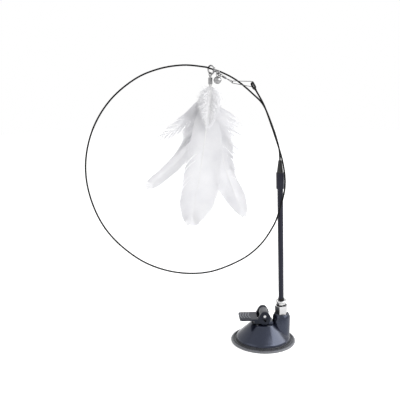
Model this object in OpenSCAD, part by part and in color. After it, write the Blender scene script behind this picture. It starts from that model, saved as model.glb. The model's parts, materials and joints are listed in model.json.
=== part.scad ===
// Cat teaser wand: a lever suction base, a leaning rod and one spring wire that is
// bent round into a loop and clasped onto itself, with a feather toy and a bell.
// Millimetres, +Z up. The origin is the centre of the suction face, on the floor.

/* [Suction base] */
// Diameter of the rubber cup at its outer lip
cup_d = 62.4; // [56:0.1:70]
// Thickness of the thin outer lip
lip_t = 0.9; // [0.7:0.1:1.2]
// Height of the shelf that carries the cover
shelf_h = 3.2; // [3:0.1:4]
// Diameter of the hard cover at its edge
cover_d = 52; // [48:0.1:54]
// Height of the cover's flat top above the floor
cover_h = 18.8; // [17:0.1:22]
// Wall of the cover
cover_wall = 2; // [1.6:0.1:2.4]
// Diameter of the cover's flat top
plateau_d = 24; // [22:0.1:27]
// How far the lever pulls the middle of the cup up
cup_pull = 3.4; // [2.5:0.1:3.6]

/* [Post and coupling] */
// Distance from the base's centre to the post's centre
post_offset = 17.4; // [16.8:0.1:17.6]
// Diameter of the post
post_d = 17; // [15.6:0.1:17.2]
// Height of the post's top above the floor
post_h = 27.9; // [26:0.1:32]
// Depth of the six-sided socket in the post
socket_depth = 5.9; // [5:0.1:6.5]
// Width across the flats of the coupling hexagon
hex_af = 11; // [10:0.1:11.4]
// Length of the coupling hexagon
hex_l = 14.3; // [14:0.1:18]
// Turn of the hexagon about its own axis
hex_turn = 8; // [0:1:59]
// Diameter of the threaded stud
stud_d = 6.8; // [6.6:0.1:7]
// Pitch of the stud's thread
thread_pitch = 1; // [0.8:0.05:1.2]
// Diameter of the round collar above the hexagon
collar_d = 10.6; // [9.6:0.1:12]
// Height of the collar
collar_h = 2.3; // [1.8:0.1:3]
// Lean of the rod towards the loop, in degrees
rod_lean = 2; // [0:0.5:3]

/* [Lever] */
// Height of the lever's pin above the floor
pivot_h = 28.2; // [27.8:0.1:29]
// Width of the lever over its two cheeks
lever_w = 18.6; // [17:0.1:20]
// Thickness of each cheek
cheek_t = 3.4; // [3:0.1:3.8]
// Radius of the round eye of each cheek
eye_r = 4.7; // [4.6:0.05:5]
// Reach of the grip from the pin
grip_l = 23.9; // [22:0.1:27]
// Thickness of the grip
grip_t = 1.6; // [1.4:0.1:2.2]
// Diameter of the pin
pin_d = 2.6; // [2.6:0.1:3.2]

/* [Rod] */
// Rod diameter at the coupling
rod_bottom_d = 4.95; // [4.6:0.05:5]
// Rod diameter at the tip
rod_top_d = 5.5; // [5:0.05:5.8]
// Length of the rod
rod_l = 137; // [110:1:180]
// Diameter of the sleeve over the rod's tip
sleeve_d = 7.45; // [7:0.05:8]
// Length of the sleeve
sleeve_l = 15.4; // [12:0.1:18]
// Length of the tapered strain relief
cone_l = 11.4; // [9:0.1:14]
// Diameter of the strain relief at its tip
cone_tip_d = 3.1; // [2.8:0.1:3.6]

/* [Wire loop] */
// Diameter of the coated spring wire
wire_d = 1.3; // [1.2:0.05:1.4]
// Width that the loop's route is drawn to
loop_w = 183; // [170:1:200]
// Height that the loop's route is drawn to
loop_h = 196; // [180:1:215]
// How far the returning strand stands in front of the rod
loop_standoff = 4.6; // [4.4:0.1:6]

/* [Snap and clasp] */
// Diameter of the snap's wire
snap_wire_d = 0.6; // [0.5:0.05:0.6]
// Distance between the snap's two end bends
snap_l = 17.2; // [16:0.1:18]
// Bend radius of the snap's wide end
snap_wide_r = 2.35; // [2.3:0.05:2.7]
// Bend radius of the snap's nose
snap_nose_r = 0.95; // [0.9:0.05:1]
// Length of the swivel's barrel
barrel_l = 3.2; // [2.8:0.1:3.6]
// Diameter of the swivel's barrel
barrel_d = 1.9; // [1.8:0.1:2.4]
// Radius of the clasp's hook, at the middle of its section
hook_r = 3.75; // [3.6:0.05:3.9]
// Diameter of the hook's section
hook_d = 1.5; // [1.3:0.05:1.5]
// Distance from the hook's centre to the hole in the clasp's tail
tail_l = 8.6; // [8.2:0.1:9]
// Turn of the clasp about the vertical, in degrees
clasp_turn = 50; // [46:1:54]
// Outer length of the eyelet on the wire's end, at the middle of its section
eyelet_l = 5.8; // [5.6:0.1:6]
// Width of the eyelet, at the middle of its section
eyelet_w = 3.8; // [3.7:0.05:3.9]
// Diameter of the eyelet's section
eyelet_d = 1.8; // [1.6:0.05:1.8]

/* [Toy] */
// Length of the crimp that holds the quills
crimp_l = 5.8; // [5.4:0.1:7]
// Diameter of the crimp
crimp_d = 3.8; // [3.7:0.1:4]
// Diameter of the bell
bell_d = 6.8; // [6.4:0.1:7.4]
// Thickness of the bell's shell
bell_wall = 0.35; // [0.3:0.05:0.5]
// Diameter of the ball in the bell
ball_d = 2.4; // [2:0.1:2.8]
// Length of the main feather
main_feather_l = 131; // [110:1:145]
// Greatest width of the main feather
main_feather_w = 35; // [28:1:38]
// Length of the feather on the rod's side
side_feather_l = 127; // [110:1:140]
// Greatest width of the feather on the rod's side
side_feather_w = 34; // [28:1:36]
// Length of the thin feather
thin_feather_l = 99; // [88:1:104]
// Greatest width of the thin feather
thin_feather_w = 16; // [12:1:18]
// Length of the short tuft
tuft_l = 60; // [50:1:64]
// Greatest width of the short tuft
tuft_w = 15; // [12:1:17]
// Length of the down plume
down_l = 38; // [30:1:45]
// Greatest width of the down plume
down_w = 20; // [15:1:24]
// Thickness of a feather's vane
vane_t = 0.8; // [0.6:0.1:1]

/* [Hidden] */

over = 0.5;
smooth = 96;
fine = 48;
small = 32;

// Clearances
run_gap = 0.05;
fit_gap = 0.1;
slide_gap = 0.08;
seat_gap = 0.3;
soft_gap = 0.3;

// Suction cup, from the outer lip inwards
cup_r = cup_d / 2;
cover_r = cover_d / 2;
lip_w = 1.9;
lip_rise = 0.5;
ridge_h = 2.5;
ridge_w = 0.8;
groove_w = 0.9;
groove_h = 1.7;
shelf_margin = 0.5;
seal_w = 4.2;
floor_clear = 0.4;
web_t = 1.2;
foot_r = 8;
foot_t = 1.6;
shaft_r = 4.2;
roof_h = cup_pull + floor_clear;
pocket_z = roof_h + web_t;
foot_z = pocket_z + soft_gap;
pocket_top = foot_z + foot_t + soft_gap;
crown_h = pocket_top + web_t;
crown_r = foot_r + soft_gap + web_t;
shoulder_r = cover_r - cover_wall - 3 * soft_gap;

// Cover
edge_h = 0.7;
bulge_w = 0.6;
bulge_h = 2;
flank_w = 2;
flank_h = 3.3;
plateau_r = plateau_d / 2;
plateau_round = 0.8;
top_t = 2.4;
ceiling_h = cover_h - top_t;
tube_wall = 2;
tube_clear = 0.8;
guide_reach = 8.7;
guide_back = 6.2;
guide_w = 10.4;
guide_h = 2.4;

// Post and its socket
post_r = post_d / 2;
post_chamfer = 1.6;
post_chamfer_h = 3.1;
seat_h = post_h - socket_depth;
hex_r = hex_af / 2 / cos(30);
screw_r = 2;
screw_head_r = 3.6;
screw_head_h = 2.6;
screw_grip = 5;
drive_r = 1.2;
washer_r = 4;
washer_t = 0.8;
post_web = 8;
stud_r = stud_d / 2;
stud_turns = 7.6;
stud_l = stud_turns * thread_pitch;
stud_floor = hex_l - stud_l - seat_gap;
coupling_washer_t = 0.8;
coupling_washer_r = 4.7;
neck_r = 4.4;
neck_h = 2;
collar_r = collar_d / 2;
collar_round = 0.5;
neck_w0 = hex_l + coupling_washer_t + 2 * run_gap;
collar_w0 = neck_w0 + neck_h;
collar_top = collar_w0 + collar_h;
grommet_r = 2.95;
grommet_h = 1.8;
grommet_lip = 0.6;

// Rod and tip
rod_w0 = stud_floor + 2 * web_t;
rod_w1 = rod_w0 + rod_l;
rod_r0 = rod_bottom_d / 2;
rod_r1 = rod_top_d / 2;
wire_r = wire_d / 2;
wire_seat = 22;
sleeve_r = sleeve_d / 2;
cone_r = 3.05;
tip_w = rod_w1 + cone_l;

// A point on the rod's leaning axis, a given way up from the socket's seat
function on_rod(w) = [post_offset - sin(rod_lean) * w, 0, seat_h + cos(rod_lean) * w];
wire_tip = on_rod(tip_w);

// Lever
cheek_y = lever_w / 2 - cheek_t;
foot_reach = pivot_h - cover_h - seat_gap;
cam_relief = 0.3;
hub_r = 4.3;
hub_w = 2 * cheek_y - 2 * fit_gap - 2 * seat_gap;
pin_r = pin_d / 2;
pin_sink = 0.2;
recess_r = 3.5;
recess_t = 0.5;
grip_top = -2.6;
grip_root = -6.6;
block_x = -10.3;
block_z = -7.2;
foot_x = -1.8;
grip_round = 2.6;
rib_count = 4;
rib_step = 2.5;
rib_w = 1.1;
rib_h = 0.6;
rib_span = 7.2;
rib_turn = 14;
rib_start = 0.9;

// The cam falls away at the rate at which the pin comes down
function cam_r(turn) = foot_reach - cam_relief - cup_pull * turn / 90;

// Route of the loop, in shares of the loop's width, the standoff and the loop's height,
// measured from the strain relief's tip
near_route_shares = [
    [-0.005, 0, 0.050],
    [-0.018, 0, 0.097],
    [-0.039, 0, 0.154],
    [-0.088, 0, 0.259],
    [-0.147, 0, 0.317],
    [-0.222, 0, 0.375],
    [-0.293, 0, 0.411]
];
clip_share = [-0.353, 0, 0.430];
far_route_shares = [
    [-0.386, 0, 0.438],
    [-0.485, 0, 0.446],
    [-0.601, 0, 0.430],
    [-0.718, 0, 0.385],
    [-0.837, 0, 0.294],
    [-0.922, 0, 0.174],
    [-0.967, -0.02, 0.034],
    [-0.967, -0.08, -0.109],
    [-0.921, -0.18, -0.255],
    [-0.842, -0.30, -0.371],
    [-0.722, -0.45, -0.470],
    [-0.600, -0.60, -0.525],
    [-0.469, -0.72, -0.548],
    [-0.334, -0.84, -0.537],
    [-0.187, -0.94, -0.479],
    [-0.093, -1, -0.406],
    [-0.029, -1, -0.314],
    [-0.002, -1, -0.245],
    [0.014, -1, -0.186],
    [0.024, -1, -0.133],
    [0.024, -0.95, -0.080],
    [0.016, -0.85, -0.027],
    [-0.001, -0.70, 0.037],
    [-0.041, -0.58, 0.147],
    [-0.085, -0.50, 0.256]
];
wire_sides = 8;
wire_steps = 4;

// The clasp hangs on the loop at this point, and the chain is laid out from it
clip_at = wire_tip + route_point(clip_share);
clasp_side = [cos(clasp_turn), -sin(clasp_turn), 0];
up = [0, 0, 1];
clip_slack = [1.2, -1];
clasp_at = clip_at + clip_slack[0] * clasp_side + clip_slack[1] * up;

// Clasp, in its own plane
hook_section_r = hook_d / 2;
hook_start = 75;
tail_angle = -9;
hook_end = -17;
hook_sweep = 360 + hook_end - hook_start;
gate_r = 0.5;
gate_start = 10;
gate_sweep = 57;
gate_angle = -8;
gate_reach = hook_r + 0.6 * hook_section_r;
knuckle_r = 1.25;
knuckle_w = 2.1;
slot_w = 1.3;
gate_knuckle_r = 0.85;
gate_knuckle_w = 0.6;
gate_knuckle_y = -0.25;
clasp_pin_r = 0.35;
nub_angle = 24;
nub_r = 0.6;
nub_stand = 1.05;
nub_reach = hook_r + nub_stand;
coil_r = 0.62;
coil_wire_r = 0.12;
coil_y = 0.34;
tail_hole_r = 1.15;
tail_rim = 0.8;
tail_t = 0.8;
bar_w = 1.5;
tail_at = tail_l * [cos(tail_angle), sin(tail_angle)];

// Rings in the clasp's tail
ring_wire_r = 0.3;
clasp_ring_r = 1.7;
clasp_ring_angle = -52;
link_gap = 0.12;
ring_play = 0.2;
ring_reach = tail_hole_r - ring_play - ring_wire_r + clasp_ring_r;
clasp_ring_at = tail_at + ring_reach * [cos(clasp_ring_angle), sin(clasp_ring_angle)];
clasp_ring_point = in_clasp(clasp_ring_at);

// A point of the clasp's own plane, in the part's frame
function in_clasp(p) = clasp_at + p[0] * clasp_side + p[1] * up;

// A chain piece points along a heading: yaw towards +Y, then pitch downwards
function heading(yaw, pitch) = [cos(pitch) * cos(yaw), cos(pitch) * sin(yaw), -sin(pitch)];

// Swivel, along its own axis from the middle of the clasp's ring
swivel_yaw = 18.4;
swivel_pitch = 29.2;
swivel_heading = heading(swivel_yaw, swivel_pitch);
swivel_wire_r = 0.28;
ring_eye_r = 1.1;
ring_eye_x = clasp_ring_r - ring_wire_r - swivel_wire_r - link_gap + ring_eye_r;
ring_eye_roll = 112;
eye_neck_r = 0.35;
eye_swell = 0.12;
leg_fade = 0.01;
leg_overlap = 0.1;
ring_eye_neck = 2.3;
barrel_x = ring_eye_x + ring_eye_neck;
barrel_r = barrel_d / 2;
barrel_wall = 0.25;
shank_gap = 0.08;
shank_head_r = 0.5;
shank_head_l = 0.5;
shank_play = 0.15;
snap_eye_r = 1.3;
snap_eye_neck = 6.25;
snap_eye_x = barrel_x + barrel_l + snap_eye_neck;
snap_eye_roll = 32;
swivel_end = clasp_ring_point + (snap_eye_x + snap_eye_r) * swivel_heading;

// Snap
snap_yaw = 8;
snap_pitch = 7;
snap_heading = heading(snap_yaw, snap_pitch);
snap_r = snap_wire_d / 2;
snap_x = snap_nose_r - snap_r - swivel_wire_r - link_gap;
snap_at = swivel_end + snap_x * snap_heading;
snap_far = snap_at + snap_l * snap_heading;

// Eyelet on the wire's end, centred on the snap's wire
eyelet_on_snap = -39;
eyelet_lean = 30;
eyelet_roll = 57;
eyelet_r = eyelet_d / 2;
eyelet_at = snap_far + snap_wide_r * (cos(eyelet_on_snap) * snap_heading + sin(eyelet_on_snap) * up);
eyelet_up = [-sin(eyelet_lean), 0, cos(eyelet_lean)];
eyelet_neck_l = 1.9;
eyelet_neck_r = 0.95;
eyelet_neck_z = -eyelet_l / 2;
wire_end = eyelet_at + (eyelet_neck_z - eyelet_r - run_gap) * eyelet_up;
wire_mouth = eyelet_at + (eyelet_neck_z - eyelet_neck_l) * eyelet_up;
wire_lead = wire_mouth - eyelet_neck_l * eyelet_up;

// Toy ring on the hook, and the crimp below it
toy_ring_r = 1.7;
toy_ring_angle = -105;
toy_ring_play = 0.15;
toy_ring_drop = toy_ring_r - ring_wire_r - hook_section_r - toy_ring_play;
toy_pivot = hook_r * [cos(toy_ring_angle), sin(toy_ring_angle)];
toy_ring_at = toy_pivot - [0, toy_ring_drop];
crimp_eye_r = 0.95;
crimp_eye_play = 0.1;
crimp_eye_at = toy_ring_at - [0, toy_ring_r - ring_wire_r - crimp_eye_play + crimp_eye_r - ring_wire_r];
crimp_wall = 0.35;
crimp_cap = 0.8;
crimp_r = crimp_d / 2;
crimp_top = crimp_eye_at - [0, crimp_eye_r];
crimp_at = in_clasp(crimp_top);

// Quills stand round the crimp's bore
quill_r = 0.35;
quill_ring_r = 0.95;
quill_seat = 4.4;
mouth_z = -crimp_l;
quill_show = 1.2;

// Outline of a feather: how far along it lies, then its half widths on either side
main_shares = [[0.15, 0.06, 0.06], [0.24, 0.28, 0.24], [0.4, 0.36, 0.38], [0.6, 0.39, 0.46],
               [0.8, 0.40, 0.56], [0.9, 0.33, 0.48], [0.97, 0.16, 0.25], [1, 0.03, 0.03]];
side_shares = [[0.14, 0.05, 0.05], [0.2, 0.2, 0.22], [0.3, 0.3, 0.62], [0.45, 0.3, 0.5],
               [0.6, 0.3, 0.32], [0.75, 0.32, 0.25], [0.88, 0.24, 0.22], [0.96, 0.16, 0.14],
               [1, 0.03, 0.03]];
thin_shares = [[0.2, 0.06, 0.06], [0.36, 0.3, 0.3], [0.6, 0.42, 0.42], [0.84, 0.5, 0.5],
               [0.95, 0.38, 0.38], [1, 0.12, 0.12]];
tuft_shares = [[0.2, 0.06, 0.06], [0.4, 0.44, 0.36], [0.66, 0.5, 0.5], [0.88, 0.34, 0.3],
               [1, 0.05, 0.05]];
down_shares = [[0.1, 0.08, 0.08], [0.3, 0.4, 0.4], [0.6, 0.5, 0.5], [0.85, 0.36, 0.36],
               [1, 0.08, 0.08]];
main_bow = 11.5;
side_bow = 26;
thin_bow = 57;
tuft_bow = 34;
rachis_share = 0.94;
rachis_steps = 8;
rachis_w = 0.9;
rachis_t = 0.66;

// Bell, below the clasp's tail
bell_r = bell_d / 2;
bell_rim_angle = -103;
bell_loop_r = 1.6;
bell_play = 0.3;
bell_rim = tail_at + (tail_hole_r + tail_rim / 2) * [cos(bell_rim_angle), sin(bell_rim_angle)];
bell_loop_at = bell_rim - [0, bell_loop_r - ring_wire_r - tail_rim / 2 - bell_play];
bell_at = bell_loop_at - [0, bell_loop_r + bell_r];
bell_seam_w = 0.25;
bell_seam_t = 0.5;
bell_slot_w = 0.9;
bell_slot_hole = 0.75;
bell_slot_share = 0.72;
ball_play = 0.1;
ball_drop = bell_r - bell_wall - ball_d / 2 - ball_play;

// Route helpers
function route_point(s) = [s[0] * loop_w, s[1] * loop_standoff, s[2] * loop_h];
function bend(a, b, c, d, t) =
    0.5 * (2 * b + (c - a) * t + (2 * a - 5 * b + 4 * c - d) * t * t
           + (3 * b - a - 3 * c + d) * t * t * t);
route = concat(
    [on_rod(rod_w1 - wire_seat), on_rod(rod_w1 - wire_seat / 2), on_rod(rod_w1), wire_tip],
    [for (s = near_route_shares) wire_tip + route_point(s)],
    [clip_at],
    [for (s = far_route_shares) wire_tip + route_point(s)],
    [wire_lead, wire_mouth, wire_end]
);
last = len(route) - 1;
function knot(i) =
    i < 0 ? 2 * route[0] - route[1] : i > last ? 2 * route[last] - route[last - 1] : route[i];
centre_line = concat(
    [for (i = [0:last - 1], k = [0:wire_steps - 1])
        bend(knot(i - 1), knot(i), knot(i + 1), knot(i + 2), k / wire_steps)],
    [route[last]]
);
ring_count = len(centre_line);
function unit(v) = v / norm(v);
function along(i) =
    unit(centre_line[min(i + 1, ring_count - 1)] - centre_line[max(i - 1, 0)]);
function across(i) = unit(cross(along(i), [0, 1, 0]));
function ring_point(i, turn) =
    centre_line[i] + wire_r * (cos(turn) * across(i) + sin(turn) * cross(across(i), along(i)));
wire_points = [for (i = [0:ring_count - 1], k = [0:wire_sides - 1])
    ring_point(i, 360 * k / wire_sides)];
wire_faces = concat(
    [[for (k = [wire_sides - 1:-1:0]) k]],
    [for (i = [0:ring_count - 2], k = [0:wire_sides - 1])
        let (a = i * wire_sides + k, b = i * wire_sides + (k + 1) % wire_sides)
        [a, b, b + wire_sides, a + wire_sides]],
    [[for (k = [0:wire_sides - 1]) (ring_count - 1) * wire_sides + k]]
);
function run_to(i) =
    i == 0 ? 0 : run_to(i - 1) + norm(centre_line[i] - centre_line[i - 1]);
echo(wire_length = run_to(ring_count - 1));

// Everything on the leaning axis of the rod
module on_rod_axis(w = 0) {
    translate([post_offset, 0, seat_h])
        rotate([0, -rod_lean, 0])
            translate([0, 0, w])
                children();
}

// The clasp's plane: x along its side, z up
module in_clasp_plane(p = [0, 0]) {
    translate(in_clasp(p))
        rotate([0, 0, -clasp_turn])
            children();
}

// Draws a flat outline upright, centred on its thickness
module upright(t) {
    rotate([90, 0, 0])
        linear_extrude(height = t, center = true)
            children();
}

// A bore or rod across the upright plane
module crosswise(r, t, sides = fine) {
    rotate([90, 0, 0])
        cylinder(h = t, r = r, center = true, $fn = sides);
}

// Part of a round wire ring that lies in the xy plane
module wire_arc(radius, wire, start, sweep) {
    rotate([0, 0, start])
        rotate_extrude(angle = sweep, $fn = fine)
            translate([radius, 0])
                circle(r = wire, $fn = small);
}

// A closed wire ring in the xy plane
module wire_ring(radius, wire) {
    rotate_extrude($fn = fine)
        translate([radius, 0])
            circle(r = wire, $fn = small);
}

// A wire link in the xy plane: one bend at the origin, the other along +x
module wire_link(length, near_r, far_r, wire) {
    flare = asin((far_r - near_r) / length);
    wire_arc(near_r, wire, 90 + flare, 180 - 2 * flare);
    translate([length, 0, 0])
        wire_arc(far_r, wire, -90 - flare, 180 + 2 * flare);
    for (side = [-1, 1])
        translate([-near_r * sin(flare), side * near_r * cos(flare), 0])
            rotate([0, 0, side * flare])
                translate([-leg_overlap, 0, 0])
                    rotate([0, 90, 0])
                        cylinder(h = length * cos(flare) + 2 * leg_overlap, r = wire - leg_fade, $fn = small);
}

// A wire eye that tapers from a bend at the origin to a swollen neck along +x,
// then a shank with a round head that a barrel's end wall traps
module wire_eye(radius, wire, barrel_end) {
    reach = barrel_end - eye_neck_r;
    flare = asin(radius / reach);
    wire_arc(radius, wire, 90 - flare, 180 + 2 * flare);
    for (side = [-1, 1])
        translate([radius * sin(flare), side * radius * cos(flare), 0])
            rotate([0, 0, -side * flare])
                translate([-leg_overlap, 0, 0])
                    rotate([0, 90, 0])
                        cylinder(h = reach * cos(flare) + leg_overlap, r = wire - leg_fade, $fn = small);
    translate([reach - eye_neck_r, 0, 0])
        rotate([0, 90, 0])
            cylinder(h = 2 * eye_neck_r - shank_play, r = wire + eye_swell, $fn = small);
    translate([reach, 0, 0])
        rotate([0, 90, 0])
            cylinder(h = eye_neck_r + barrel_wall + shank_play + shank_head_l / 2, r = wire, $fn = small);
    translate([barrel_end + barrel_wall + shank_play, 0, 0])
        rotate([0, 90, 0])
            cylinder(h = shank_head_l, r = shank_head_r, $fn = small);
}

// Profile of the cover's outside, from the edge to the flat top
cover_outside = [
    [cover_r, shelf_h],
    [cover_r, shelf_h + edge_h],
    [cover_r - bulge_w, shelf_h + bulge_h],
    [cover_r - flank_w, shelf_h + flank_h],
    [plateau_r + plateau_round / 2, cover_h - plateau_round],
    [plateau_r - plateau_round / 2, cover_h]
];

// Profile of the cover's inside
cover_inside = [
    [cover_r - cover_wall, shelf_h - over],
    [cover_r - cover_wall, shelf_h + edge_h],
    [cover_r - cover_wall - bulge_w, shelf_h + bulge_h - edge_h],
    [plateau_r - plateau_round - bulge_w, ceiling_h]
];

module suction_cup() {
    color([0.30, 0.31, 0.33])
        difference() {
            rotate_extrude($fn = smooth)
                polygon([
                    [0, roof_h],
                    [foot_r, roof_h],
                    [cup_r - seal_w, 0],
                    [cup_r, 0],
                    [cup_r, lip_t],
                    [cup_r - lip_w, lip_t + lip_rise],
                    [cup_r - lip_w - ridge_w / 2, ridge_h],
                    [cup_r - lip_w - ridge_w, ridge_h],
                    [cup_r - lip_w - ridge_w - groove_w / 2, groove_h],
                    [cup_r - lip_w - ridge_w - groove_w, groove_h],
                    [cover_r + shelf_margin, shelf_h],
                    [shoulder_r, shelf_h],
                    [crown_r, crown_h],
                    [0, crown_h]
                ]);
            translate([0, 0, pocket_z])
                cylinder(h = pocket_top - pocket_z, r = foot_r + soft_gap, $fn = smooth);
            translate([0, 0, pocket_z])
                cylinder(h = crown_h, r = shaft_r + soft_gap, $fn = smooth);
        }
}

module base_cover() {
    color([0.13, 0.14, 0.18])
        difference() {
            union() {
                rotate_extrude($fn = smooth)
                    polygon(concat([[0, shelf_h]], cover_outside, [[0, cover_h]]));
                translate([post_offset, 0, shelf_h + edge_h])
                    cylinder(h = post_h - post_chamfer_h - shelf_h - edge_h, r = post_r, $fn = smooth);
                translate([post_offset, 0, post_h - post_chamfer_h])
                    cylinder(h = post_chamfer_h, r1 = post_r, r2 = post_r - post_chamfer, $fn = smooth);
                translate([-guide_back, -guide_w / 2, cover_h - over])
                    cube([guide_back + guide_reach, guide_w, guide_h + over]);
            }
            difference() {
                rotate_extrude($fn = smooth)
                    polygon(concat([[0, shelf_h - over]], cover_inside, [[0, ceiling_h]]));
                translate([0, 0, crown_h + tube_clear])
                    cylinder(h = ceiling_h, r = shaft_r + slide_gap + tube_wall, $fn = smooth);
            }
            translate([0, 0, crown_h])
                cylinder(h = cover_h + guide_h, r = shaft_r + slide_gap, $fn = smooth);
            translate([0, 0, pivot_h - cup_pull])
                crosswise(hub_r + seat_gap, guide_w + 2 * over, smooth);
            on_rod_axis()
                rotate([0, 0, hex_turn])
                    cylinder(h = 2 * socket_depth, r = hex_r + fit_gap, $fn = 6);
            on_rod_axis(-post_web - over)
                cylinder(h = post_web + 2 * over, r = screw_r + fit_gap, $fn = fine);
            on_rod_axis(-post_web - post_h / 2)
                cylinder(h = post_h / 2, r = washer_r + fit_gap, $fn = fine);
        }
}

module cup_stem() {
    color([0.20, 0.20, 0.23])
        difference() {
            union() {
                translate([0, 0, foot_z])
                    cylinder(h = foot_t, r = foot_r, $fn = smooth);
                translate([0, 0, foot_z])
                    cylinder(h = pivot_h - foot_z, r = shaft_r, $fn = smooth);
                translate([0, 0, pivot_h])
                    crosswise(hub_r, hub_w, smooth);
            }
            translate([0, 0, pivot_h])
                crosswise(pin_r + run_gap, lever_w);
        }
}

module lever_pin() {
    color([0.86, 0.86, 0.88])
        translate([0, 0, pivot_h])
            crosswise(pin_r, lever_w - 2 * pin_sink);
}

// Outline of a cheek about the pin: round eye, arm, foot and cam
cheek_outline = concat(
    [for (turn = [15:15:150]) eye_r * [cos(turn), sin(turn)]],
    [
        [grip_root, grip_top],
        [block_x, grip_top],
        [block_x, block_z],
        [foot_x - eye_r / 4, block_z],
        [foot_x, -foot_reach],
        [0, -foot_reach]
    ],
    [for (turn = [10:10:90]) cam_r(turn) * [sin(turn), -cos(turn)]]
);

// Lightening hole in a cheek, between its foot and its arm
cheek_window_shares = [[-0.24, -0.56], [0.38, -0.65], [0.29, -1.16], [0.16, -1.26], [-0.4, -0.77]];

module chevron() {
    for (side = [-1, 1])
        rotate([0, 0, -side * rib_turn])
            translate([-rib_w / 2, side > 0 ? 0 : -rib_span, 0])
                cube([rib_w, rib_span, grip_t + rib_h]);
}

module cam_lever() {
    color([0.14, 0.15, 0.18])
        translate([0, 0, pivot_h])
            difference() {
                union() {
                    for (side = [-1, 1])
                        translate([0, side * (lever_w - cheek_t) / 2, 0])
                            upright(cheek_t)
                                polygon(cheek_outline);
                    translate([0, 0, grip_top - grip_t])
                        linear_extrude(height = grip_t)
                            difference() {
                                translate([-grip_l, -lever_w / 2])
                                    square([grip_l + grip_root, lever_w]);
                                for (side = [-1, 1])
                                    translate([-grip_l, side * lever_w / 2])
                                        difference() {
                                            square(2 * grip_round, center = true);
                                            translate([grip_round, -side * grip_round])
                                                circle(r = grip_round, $fn = fine);
                                        }
                            }
                    for (k = [0:rib_count - 1])
                        translate([-grip_l + rib_start + rib_step * k, 0, grip_top - grip_t])
                            chevron();
                }
                crosswise(pin_r + run_gap, lever_w + 2 * over);
                for (side = [-1, 1])
                    translate([0, side * (lever_w / 2 - recess_t / 2 + over / 2), 0])
                        difference() {
                            crosswise(recess_r, recess_t + over);
                            crosswise(recess_r - recess_t, recess_t + 2 * over);
                        }
                upright(lever_w + 2 * over)
                    polygon(eye_r * cheek_window_shares);
            }
}

module socket_screw() {
    color([0.62, 0.62, 0.64])
        on_rod_axis(-post_web - washer_t)
            difference() {
                union() {
                    translate([0, 0, -screw_head_h])
                        cylinder(h = screw_head_h, r = screw_head_r, $fn = fine);
                    cylinder(h = post_web + washer_t + screw_grip - seat_gap, r = screw_r, $fn = fine);
                }
                translate([0, 0, -screw_head_h - over])
                    cylinder(h = screw_head_h / 2 + over, r = drive_r, $fn = 6);
            }
}

module socket_washer() {
    color([0.70, 0.70, 0.72])
        on_rod_axis(-post_web - washer_t)
            difference() {
                cylinder(h = washer_t, r = washer_r, $fn = fine);
                translate([0, 0, -over])
                    cylinder(h = washer_t + 2 * over, r = screw_r + fit_gap, $fn = fine);
            }
}

module hex_socket() {
    color([0.86, 0.86, 0.87])
        on_rod_axis()
            difference() {
                rotate([0, 0, hex_turn])
                    cylinder(h = hex_l, r = hex_r, $fn = 6);
                translate([0, 0, -over])
                    cylinder(h = screw_grip + over, r = screw_r + run_gap, $fn = fine);
                translate([0, 0, stud_floor])
                    cylinder(h = hex_l, r = stud_r + run_gap, $fn = smooth);
            }
}

module coupling_washer() {
    color([0.10, 0.10, 0.11])
        on_rod_axis(hex_l + run_gap)
            difference() {
                cylinder(h = coupling_washer_t, r = coupling_washer_r, $fn = fine);
                translate([0, 0, -over])
                    cylinder(h = coupling_washer_t + 2 * over, r = stud_r + fit_gap, $fn = fine);
            }
}

module ferrule() {
    color([0.88, 0.88, 0.89])
        on_rod_axis()
            difference() {
                rotate_extrude($fn = smooth)
                    polygon([
                        [0, neck_w0 - stud_l - coupling_washer_t],
                        [stud_r, neck_w0 - stud_l - coupling_washer_t],
                        [stud_r, neck_w0],
                        [neck_r, neck_w0],
                        [neck_r, collar_w0],
                        [collar_r - collar_round, collar_w0],
                        [collar_r, collar_w0 + collar_round],
                        [collar_r, collar_top - collar_round],
                        [collar_r - collar_round, collar_top],
                        [0, collar_top]
                    ]);
                translate([0, 0, rod_w0])
                    cylinder(h = collar_top, r = rod_r0 + fit_gap, $fn = smooth);
            }
}

module rod_grommet() {
    color([0.06, 0.06, 0.07])
        on_rod_axis(collar_top)
            difference() {
                union() {
                    cylinder(h = grommet_lip, r = grommet_r, $fn = fine);
                    translate([0, 0, grommet_lip])
                        cylinder(h = grommet_h - grommet_lip, r1 = grommet_r,
                                 r2 = rod_r0 + 2 * fit_gap + wire_r / 2, $fn = fine);
                }
                translate([0, 0, -over])
                    cylinder(h = grommet_h + 2 * over, r = rod_r0 + fit_gap, $fn = fine);
            }
}

module rod_tube() {
    color([0.12, 0.12, 0.13])
        on_rod_axis(rod_w0)
            difference() {
                cylinder(h = rod_l, r1 = rod_r0, r2 = rod_r1, $fn = smooth);
                translate([0, 0, rod_l - wire_seat - seat_gap])
                    cylinder(h = rod_l, r = wire_r + fit_gap, $fn = fine);
            }
}

module tip_sleeve() {
    color([0.08, 0.08, 0.09])
        on_rod_axis(rod_w1 - sleeve_l)
            difference() {
                cylinder(h = sleeve_l, r = sleeve_r, $fn = smooth);
                translate([0, 0, -over])
                    cylinder(h = sleeve_l + 2 * over, r = rod_r1 + run_gap, $fn = smooth);
            }
}

module tip_cone() {
    color([0.10, 0.10, 0.11])
        on_rod_axis(rod_w1)
            difference() {
                cylinder(h = cone_l, r1 = cone_r, r2 = cone_tip_d / 2, $fn = smooth);
                translate([0, 0, -over])
                    cylinder(h = cone_l + 2 * over, r = wire_r + fit_gap, $fn = fine);
            }
}

module spring_wire() {
    color([0.07, 0.07, 0.08])
        polyhedron(points = wire_points, faces = wire_faces);
}

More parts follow.
